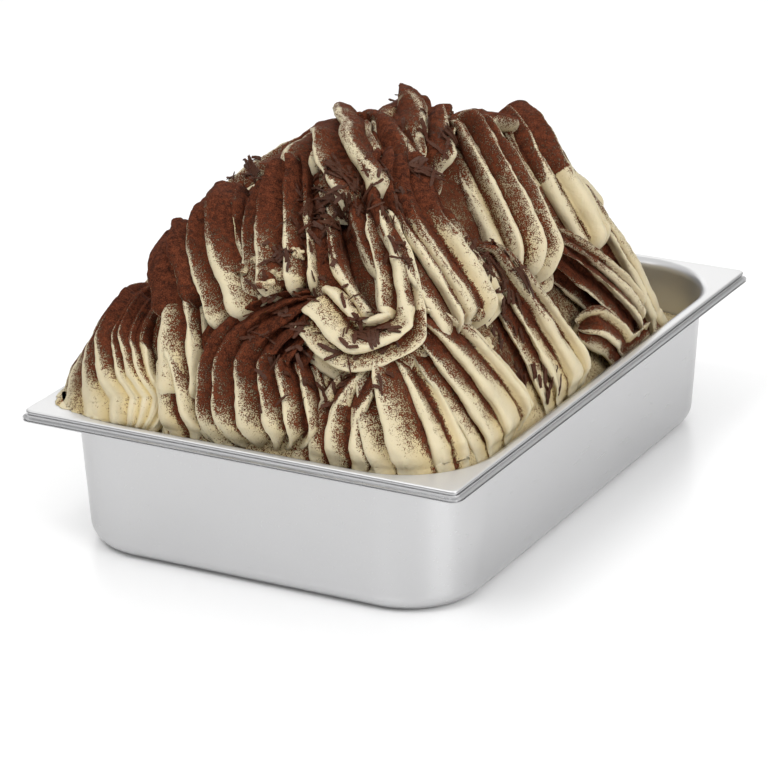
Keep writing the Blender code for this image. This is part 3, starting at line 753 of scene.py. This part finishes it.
def math_node(tree, operation, first, second=None, third=None):
    """A Math node whose inputs are sockets or numbers; gives its output."""
    node = tree.nodes.new("ShaderNodeMath")
    node.operation = operation
    for slot, value in enumerate((first, second, third)):
        if isinstance(value, (int, float)):
            node.inputs[slot].default_value = value
        elif value is not None:
            link(tree, value, node.inputs[slot])
    return node.outputs[0]


def noise_node(tree, place, scale, detail=2.0, roughness=0.5):
    """A Noise Texture over a place; gives its value."""
    node = tree.nodes.new("ShaderNodeTexNoise")
    node.inputs["Scale"].default_value = scale
    node.inputs["Detail"].default_value = detail
    node.inputs["Roughness"].default_value = roughness
    link(tree, place, node.inputs["Vector"])
    return node.outputs[0]


def mix_node(tree, kind, factor, slots, ends):
    """A Mix node whose ends are sockets or plain values."""
    node = tree.nodes.new("ShaderNodeMix")
    node.data_type = kind
    link(tree, factor, node.inputs[0])
    for slot, value in zip(slots, ends):
        if isinstance(value, bpy.types.NodeSocket):
            link(tree, value, node.inputs[slot])
        else:
            node.inputs[slot].default_value = value
    return node


def mix_colours(tree, factor, *ends):
    """A colour that goes from first to second with a factor; gives the output."""
    ends = [(*end, 1.0) if isinstance(end, tuple) else end for end in ends]
    return mix_node(tree, "RGBA", factor, (6, 7), ends).outputs[2]


def mix_values(tree, factor, *ends):
    """A number that goes from first to second with a factor; gives the output."""
    return mix_node(tree, "FLOAT", factor, (2, 3), ends).outputs[0]


def map_range(tree, value, low, high, top=1.0, soft=True):
    """A Map Range node that takes low to 0 and high to top; gives its output."""
    node = tree.nodes.new("ShaderNodeMapRange")
    if soft:
        node.interpolation_type = "SMOOTHSTEP"
    for label, number in (("From Min", low), ("From Max", high), ("To Max", top)):
        node.inputs[label].default_value = number
    link(tree, value, node.inputs["Value"])
    return node.outputs[0]


def object_place(tree):
    """The place on the object, in metres."""
    return tree.nodes.new("ShaderNodeTexCoord").outputs["Object"]


def mark_value(tree, name):
    """A number that the mesh carries at its points."""
    node = tree.nodes.new("ShaderNodeAttribute")
    node.attribute_name = name
    return node.outputs["Fac"]


def cocoa_dust_group():
    """Node group: where grains of cocoa lie for a given density, and how high they stand."""
    name = "cocoa_dust"
    if name in bpy.data.node_groups:
        return bpy.data.node_groups[name]
    group, given, result = new_group(
        name, (("Place", "NodeSocketVector", None), ("Density", "NodeSocketFloat", 0.5)),
        (("Mask", "NodeSocketFloat"), ("Height", "NodeSocketFloat"), ("Shade", "NodeSocketFloat")))
    place, density = given.outputs["Place"], given.outputs["Density"]
    grains = noise_node(group, place, GRAIN_SCALE, 2.0, 0.6)
    clumps = math_node(group, "SUBTRACT", noise_node(group, place, CLUMP_SCALE, 2.0, 0.6), 0.5)
    patches = math_node(group, "SUBTRACT", noise_node(group, place, PATCH_SCALE, 2.0, 0.5), 0.5)
    spread = math_node(group, "MULTIPLY_ADD", grains, 2.1, -0.55)
    spread = math_node(group, "MULTIPLY_ADD", clumps, 0.8, spread)
    spread = math_node(group, "MULTIPLY_ADD", patches, 0.5, spread)
    level = math_node(group, "SUBTRACT", math_node(group, "ADD", spread, density), 1.0)
    edge = map_range(group, level, -0.16, 0.10)
    veil = map_range(group, density, 0.35, 0.9, 0.8)
    link(group, math_node(group, "MAXIMUM", edge, veil), result.inputs["Mask"])
    link(group, math_node(group, "MULTIPLY", edge, grains), result.inputs["Height"])
    shade = math_node(group, "MULTIPLY_ADD", clumps, 0.7, grains)
    link(group, map_range(group, shade, 0.32, 0.7, soft=False), result.inputs["Shade"])
    return group


def fine_grain_group():
    """Node group: fine bumps and soft blotches of a smooth food surface."""
    name = "fine_grain"
    if name in bpy.data.node_groups:
        return bpy.data.node_groups[name]
    group, given, result = new_group(
        name, (("Place", "NodeSocketVector", None),),
        (("Height", "NodeSocketFloat"), ("Blotch", "NodeSocketFloat")))
    place = given.outputs["Place"]
    fine = noise_node(group, place, 700.0, 3.0, 0.6)
    pits = noise_node(group, place, 180.0, 3.0, 0.55)
    link(group, math_node(group, "MULTIPLY_ADD", pits, 1.4, fine), result.inputs["Height"])
    link(group, noise_node(group, place, 45.0, 3.0, 0.5), result.inputs["Blotch"])
    return group


def place_group(tree, group, **inputs):
    """Put a node group into a material and join its inputs."""
    node = tree.nodes.new("ShaderNodeGroup")
    node.node_tree = group
    for label, value in inputs.items():
        link(tree, value, node.inputs[label])
    return node


def new_material(name):
    """A material with its Principled shader and node tree."""
    material = bpy.data.materials.new(name)
    material.use_nodes = True
    return material, material.node_tree, material.node_tree.nodes["Principled BSDF"]


def add_bump(tree, shader, height, distance, strength=1.0):
    """Feed a height through a Bump node into the shader's normal."""
    bump = tree.nodes.new("ShaderNodeBump")
    bump.inputs["Distance"].default_value = distance
    bump.inputs["Strength"].default_value = strength
    link(tree, height, bump.inputs["Height"])
    link(tree, bump.outputs[0], shader.inputs["Normal"])


def set_inputs(shader, values):
    """Write constants into a shader's sockets."""
    for label, value in values.items():
        shader.inputs[label].default_value = value


def food_nodes(tree):
    """The cocoa and grain groups of a food material."""
    place = object_place(tree)
    dust = place_group(tree, cocoa_dust_group(), Place=place, Density=mark_value(tree, "dust"))
    return dust, place_group(tree, fine_grain_group(), Place=place)


def scaled(colour, share):
    """A colour made darker or lighter."""
    return tuple(share * c for c in colour)


def gelato_material():
    """Cream gelato under grains of cocoa, with painted shade deep between the ridges: darker and yellower
    there, like light bounced in the furrows.
    """
    name = "cream_gelato_under_cocoa"
    if name in bpy.data.materials:
        return bpy.data.materials[name]
    heap = bpy.context.scene.gelato_heap
    material, tree, shader = new_material(name)
    dust, grain = food_nodes(tree)
    cream = tuple(heap.cream)
    # painted shade: the cream darkens and yellows towards the deepest part of each valley
    hollow = math_node(tree, "POWER", mark_value(tree, "hollow"), 1.15)
    base = mix_colours(tree, hollow, cream, tuple(heap.hollow))
    blotch = math_node(tree, "MULTIPLY", grain.outputs["Blotch"], 0.35)
    base = mix_colours(tree, blotch, base, scaled(cream, 0.93))
    cocoa = mix_colours(tree, dust.outputs["Shade"], tuple(heap.cocoa), tuple(heap.cocoa_light))
    link(tree, mix_colours(tree, dust.outputs["Mask"], base, cocoa), shader.inputs["Base Color"])
    link(tree, mix_values(tree, dust.outputs["Mask"], 0.42, 0.9), shader.inputs["Roughness"])
    height = math_node(tree, "MULTIPLY_ADD", dust.outputs["Height"], 1.2, grain.outputs["Height"])
    add_bump(tree, shader, height, 0.00035)
    set_inputs(shader, {"Subsurface Weight": 0.12, "Subsurface Radius": (0.004, 0.0025, 0.0012),
                        "Subsurface Scale": 1.0, "Specular IOR Level": 0.12})
    return material


def chocolate_material():
    """Dark chocolate, a little dusty, with fine bumps and soft blotches."""
    name = "dark_chocolate"
    if name in bpy.data.materials:
        return bpy.data.materials[name]
    colour = tuple(bpy.context.scene.gelato_shavings.chocolate)
    material, tree, shader = new_material(name)
    dust, grain = food_nodes(tree)
    base = mix_colours(tree, grain.outputs["Blotch"], scaled(colour, 0.7), scaled(colour, 1.6))
    cocoa = scaled(bpy.context.scene.gelato_heap.cocoa, 2.5)
    link(tree, mix_colours(tree, dust.outputs["Mask"], base, cocoa), shader.inputs["Base Color"])
    link(tree, mix_values(tree, dust.outputs["Mask"], 0.5, 0.9), shader.inputs["Roughness"])
    shader.inputs["Specular IOR Level"].default_value = 0.2
    add_bump(tree, shader, grain.outputs["Height"], 0.0003)
    return material


def steel_material():
    """Pressed stainless steel with a fine satin brushing along the pan, and a painted highlight: a paler,
    less metallic colour on the flat flange and, in part, on the well's inner walls.
    """
    pan = bpy.context.scene.gelato_pan
    material, tree, shader = new_material("satin_steel")
    place = object_place(tree)
    stretch = tree.nodes.new("ShaderNodeMapping")
    stretch.inputs["Scale"].default_value = BRUSH_STRETCH
    link(tree, place, stretch.inputs["Vector"])
    lines = noise_node(tree, stretch.outputs[0], 900.0, 2.0, 0.6)
    cloud = noise_node(tree, place, 14.0, 3.0, 0.5)
    colour = tuple(pan.steel)
    # painted highlight: the flange, and the inner walls in part, turn paler and less metallic
    flange = mark_value(tree, "flange")
    light = tuple(min(1.0, c) for c in scaled(colour, 1.04))
    steel = mix_colours(tree, cloud, scaled(colour, 0.96), light)
    link(tree, mix_colours(tree, flange, steel, FLANGE_HIGHLIGHT_COLOUR), shader.inputs["Base Color"])
    rough = math_node(tree, "MULTIPLY_ADD", lines, 0.03, pan.roughness - 0.015)
    link(tree, mix_values(tree, flange, rough, FLANGE_ROUGHNESS), shader.inputs["Roughness"])
    link(tree, mix_values(tree, flange, 1.0, FLANGE_METALLIC), shader.inputs["Metallic"])
    add_bump(tree, shader, lines, 0.0000005, 0.2)
    return material


def shaving_rings(middle, normal, length, width, thick, turn, tilt, bend, shift=0.0):
    """Rings of one bent shaving that stands tilted on a surface."""
    flat = np.cross(normal, (math.cos(turn), math.sin(turn), 0.2))
    flat /= np.linalg.norm(flat)
    side = np.cross(normal, flat)
    run = flat * math.cos(tilt) + normal * math.sin(tilt)
    face = np.cross(run, side)
    rings = []
    for share in np.linspace(-0.5, 0.5, 10):
        narrow = 1 - 0.35 * (2 * share) ** 4
        spine = middle + side * shift + run * length * share + face * bend * (0.25 - share ** 2)
        rings.append([spine + side * width / 2 * u * narrow + face * thick / 2 * v
                      for u, v in ((-1, -0.6), (0, -1), (1, -0.6), (1, 0.6), (0, 0.7), (-1, 0.6))])
    return rings


def heap_surface():
    """A ray finder over all lobes of the heap."""
    skins = []
    for name, _, _ in HEAP_PIECES:
        mesh = bpy.data.objects[name].data
        places = np.empty(len(mesh.vertices) * 3, np.float32)
        mesh.vertices.foreach_get("co", places)
        skins.append((places.reshape(-1, 3), [list(face.vertices) for face in mesh.polygons]))
    points, faces = join_skins(skins)
    return BVHTree.FromPolygons(points.tolist(), faces)


def clump_skin(middle, size, seed):
    """Points and faces of one torn bit of gelato round a middle."""
    rings = []
    for rise in np.linspace(-1.4, 1.4, 22):
        turn = np.linspace(0, 2 * math.pi, 36, endpoint=False)
        way = np.column_stack((math.cos(rise) * np.cos(turn), math.cos(rise) * np.sin(turn),
                               np.full(turn.shape, math.sin(rise))))
        fold = np.abs(lattice_noise(way * 2.2, 1.0, seed + 1))
        reach = 1 + 0.6 * lattice_noise(way * 1.2, 1.0, seed) - 0.45 * fold
        rings.append(middle + way * reach[:, None] * size * np.array((1.25, 0.9, 0.75)))
    return skin(rings)


def land_on(surface, x, y):
    """Where a plan point meets the heap from its outward side: the place and normal, in mm."""
    xs, ys = np.array([float(x)]), np.array([float(y)])
    normal = Vector(crown_normal(xs, ys)[0])
    start = Vector((x, y, crown_height(xs, ys)[0])) + normal * 60
    hit, bump, _, _ = surface.ray_cast(start * MM, -normal, 0.12)
    if hit is None:
        return None
    return np.array(hit) / MM, np.array(bump)


def finish_gelato(piece):
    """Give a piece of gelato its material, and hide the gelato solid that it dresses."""
    piece.data.materials.append(gelato_material())
    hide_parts("gelato")


class GELATO_OT_pan(bpy.types.Operator):
    """Build the steel pan with its lip and satin finish."""
    bl_idname = "gelato.pan"
    bl_label = "Steel pan"

    def execute(self, context):
        pan = context.scene.gelato_pan
        rings = well_rings(pan, 0.0) + lip_rings(pan) + well_rings(pan, pan.sheet / MM)[::-1]
        points, faces = skin(rings)
        points = np.array(points)
        # mask of the flange's finish with its painted highlight: full on the flat flange, part on the well's
        # inner walls
        distance, _ = outside_of(points, FLANGE_END + 0.1, MOUTH_CORNER + MOUTH_ROUND)
        flange = ((points[:, 2] > pan.height / MM - EDGE_ROUND / 2) & (distance > 0)).astype(float)
        flange[:len(well_rings(pan, 0.0)) * len(rings[0])] += INNER_FINISH_AND_HIGHLIGHT
        flange = np.minimum(flange, 1.0)
        piece = mesh_piece("steel_pan", points, faces, {"flange": flange})
        piece.data.set_sharp_from_angle(angle=math.radians(40))
        piece.data.materials.append(steel_material())
        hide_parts("pan")
        return {"FINISHED"}


class GELATO_OT_heap(bpy.types.Operator):
    """Build the gelato: its core and its ridged lobes."""
    bl_idname = "gelato.heap"
    bl_label = "Gelato heap"

    def execute(self, context):
        pieces = [lobes_piece(*entry) for entry in HEAP_PIECES]
        pieces.append(core_piece())
        for piece in pieces:
            finish_gelato(piece)
        return {"FINISHED"}


class GELATO_OT_clumps(bpy.types.Operator):
    """Lay torn bits of gelato at the feet of some lobes."""
    bl_idname = "gelato.clumps"
    bl_label = "Torn gelato"

    def execute(self, context):
        surface = heap_surface()
        skins = []
        for seed, (spot, size) in enumerate(CLUMPS):
            landing = land_on(surface, *spot)
            if landing is not None:
                skins.append(clump_skin(landing[0] + landing[1] * size * 0.05, size, seed * 5))
        points, faces = join_skins(skins)
        points = points + 0.25 * lattice_noise(points, 1.6, 61)[:, None]
        # painted shade of little depth over the torn bits
        marks = {"dust": 0.42 + 0.5 * lattice_noise(points, 6.0, 62), "hollow": np.full(len(points), 0.35)}
        finish_gelato(mesh_piece("torn_gelato", keep_clear(points), faces, marks))
        return {"FINISHED"}


class GELATO_OT_shavings(bpy.types.Operator):
    """Scatter the chocolate shavings in their clusters."""
    bl_idname = "gelato.shavings"
    bl_label = "Chocolate shavings"

    def strips(self, settings, landing, length, turn, tilt, size, count, split):
        """One shaving, split into a count of strips side by side."""
        place, normal = landing
        scale = max(size, 0.4)
        width = settings.width / MM * size / count
        thick = settings.thick / MM * scale / count ** 0.5
        skins = []
        for strip in range(count):
            trim, lean, curl = split.uniform((0.6, -0.1, 0.6), (1.05, 0.1, 1.6))
            bend = SHAVING_BEND * scale * curl
            skins.append(skin(shaving_rings(place + normal * 0.5, normal, length * trim, width * 0.95, thick,
                                            turn + lean, tilt, bend, (strip - (count - 1) / 2) * width)))
        return skins

    def execute(self, context):
        settings = context.scene.gelato_shavings
        surface = heap_surface()
        skins = []
        split = np.random.default_rng(9)
        for seed, clusters, copies, spread, lengths, sizes in SHAVING_PASSES:
            rng = np.random.default_rng(seed)
            for cluster in clusters:
                for _ in range(cluster.count * copies):
                    spot = np.array(cluster.spot) + cluster.spread * spread * rng.uniform(-1, 1, 2)
                    length = cluster.length * rng.uniform(*lengths)
                    turn, tilt = rng.uniform(0, math.pi), rng.uniform(0.05, 0.5)
                    size = rng.uniform(*sizes) if sizes else 1.0
                    landing = land_on(surface, *spot)
                    if landing is not None:
                        count = 1 if sizes else STRIPS
                        skins += self.strips(settings, landing, length, turn, tilt, size, count, split)
        points, faces = join_skins(skins)
        ragged = [lattice_noise(points, 2.4, 31 + axis) + 0.6 * lattice_noise(points, 1.0, 41 + axis)
                  for axis in range(3)]
        points = points + RAGGED * np.stack(ragged, -1)
        marks = {"dust": 0.35 + 0.2 * lattice_noise(points, 9.0, 21)}
        piece = mesh_piece("chocolate_shavings", points, faces, marks)
        piece.data.set_sharp_from_angle(angle=math.radians(50))
        piece.data.materials.append(chocolate_material())
        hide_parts("gelato")
        return {"FINISHED"}


def area_light(name, place, target, power, size):
    """A soft square light that looks at a target."""
    light = bpy.data.lights.new(name, "AREA")
    light.shape = "RECTANGLE"
    light.size, light.size_y = size
    light.energy = power
    item = bpy.data.objects.new(name, light)
    item.location = place
    item.rotation_euler = (Vector(target) - Vector(place)).to_track_quat("-Z", "Y").to_euler()
    bpy.context.scene.collection.objects.link(item)
    return item


def camera_matrix():
    """Where the camera stands and looks, from how the pan lies in the picture."""
    turn, rise, roll = (math.radians(a) for a in (CAMERA_TURN, CAMERA_RISE, CAMERA_ROLL))
    back = Vector((math.sin(turn) * math.cos(rise), -math.cos(turn) * math.cos(rise), math.sin(rise)))
    right = Vector((math.cos(turn), math.sin(turn), 0))
    up = back.cross(right)
    tilted_right = math.cos(roll) * right + math.sin(roll) * up
    tilted_up = math.cos(roll) * up - math.sin(roll) * right
    shift_x = (CAMERA_ORIGIN[0] - PICTURE / 2) / CAMERA_FOCAL * CAMERA_DISTANCE
    shift_y = -(CAMERA_ORIGIN[1] - PICTURE / 2) / CAMERA_FOCAL * CAMERA_DISTANCE
    matrix = Matrix((tilted_right, tilted_up, back)).transposed().to_4x4()
    matrix.translation = CAMERA_DISTANCE * back - shift_x * tilted_right - shift_y * tilted_up
    return matrix


class GELATO_OT_stage(bpy.types.Operator):
    """Set the floor, the soft lights and the camera."""
    bl_idname = "gelato.stage"
    bl_label = "Studio"

    def shade_sky(self, tree, sky):
        """White overhead and grey near the horizon, which draws the edges of the steel."""
        place = tree.nodes.new("ShaderNodeTexCoord")
        split = tree.nodes.new("ShaderNodeSeparateXYZ")
        link(tree, place.outputs["Generated"], split.inputs[0])
        rise = map_range(tree, split.outputs["Z"], *SKY_RANGE)
        link(tree, mix_colours(tree, rise, SKY_HORIZON, (1.0, 1.0, 1.0)), sky.inputs["Color"])

    def execute(self, context):
        scene = context.scene
        stage = scene.gelato_stage
        mesh = bpy.data.meshes.new("floor")
        corners = [(x * FLOOR_HALF, y * FLOOR_HALF, 0) for x, y in ((-1, -1), (1, -1), (1, 1), (-1, 1))]
        mesh.from_pydata(corners, [], [(0, 1, 2, 3)])
        floor = bpy.data.objects.new("floor", mesh)
        scene.collection.objects.link(floor)
        material, tree, shader = new_material("pale_floor")
        set_inputs(shader, {"Base Color": (*stage.floor, 1.0), "Roughness": 0.35,
                            "Emission Color": (1.0, 1.0, 1.0, 1.0), "Emission Strength": FLOOR_GLOW})
        mesh.materials.append(material)
        world = bpy.data.worlds.new("soft_sky")
        world.use_nodes = True
        sky = world.node_tree.nodes["Background"]
        self.shade_sky(world.node_tree, sky)
        sky.inputs["Strength"].default_value = stage.sky
        scene.world = world
        for name, setting, place, target, size in LIGHTS:
            area_light(name, place, target, getattr(stage, setting), size)
        camera = bpy.data.cameras.new("camera")
        camera.sensor_width = SENSOR
        camera.lens = CAMERA_FOCAL / PICTURE * SENSOR
        camera.clip_start = 0.1
        camera.clip_end = 20.0
        item = bpy.data.objects.new("camera", camera)
        scene.collection.objects.link(item)
        item.matrix_world = camera_matrix()
        scene.camera = item
        scene.view_settings.view_transform = "Standard"
        return {"FINISHED"}


class GELATO_PT_panel(bpy.types.Panel):
    """Sidebar panel that lists the pieces and their settings."""
    bl_idname = "GELATO_PT_panel"
    bl_label = "Gelato pan"
    bl_space_type = "VIEW_3D"
    bl_region_type = "UI"
    bl_category = "Gelato"

    def draw(self, context):
        for title, settings, operator in PANEL_ROWS:
            box = self.layout.box()
            box.label(text=title)
            group = getattr(context.scene, settings)
            for name in type(group).__annotations__:
                box.prop(group, name)
            box.operator(operator)


PANEL_ROWS = (
    ("Pan", "gelato_pan", "gelato.pan"),
    ("Heap", "gelato_heap", "gelato.heap"),
    ("Torn gelato", "gelato_heap", "gelato.clumps"),
    ("Shavings", "gelato_shavings", "gelato.shavings"),
    ("Studio", "gelato_stage", "gelato.stage"),
)
GROUPS = {"gelato_pan": PanSettings, "gelato_heap": HeapSettings,
          "gelato_shavings": ShavingSettings, "gelato_stage": StageSettings}
CLASSES = (*GROUPS.values(), GELATO_OT_pan, GELATO_OT_heap, GELATO_OT_clumps, GELATO_OT_shavings,
           GELATO_OT_stage, GELATO_PT_panel)


def register():
    for item in CLASSES:
        bpy.utils.register_class(item)
    for name, group in GROUPS.items():
        setattr(bpy.types.Scene, name, bpy.props.PointerProperty(type=group))


def unregister():
    for name in GROUPS:
        delattr(bpy.types.Scene, name)
    for item in reversed(CLASSES):
        bpy.utils.unregister_class(item)


def main():
    register()
    bpy.ops.gelato.pan()
    bpy.ops.gelato.heap()
    bpy.ops.gelato.clumps()
    bpy.ops.gelato.shavings()
    bpy.ops.gelato.stage()


if __name__ == "__main__":
    main()
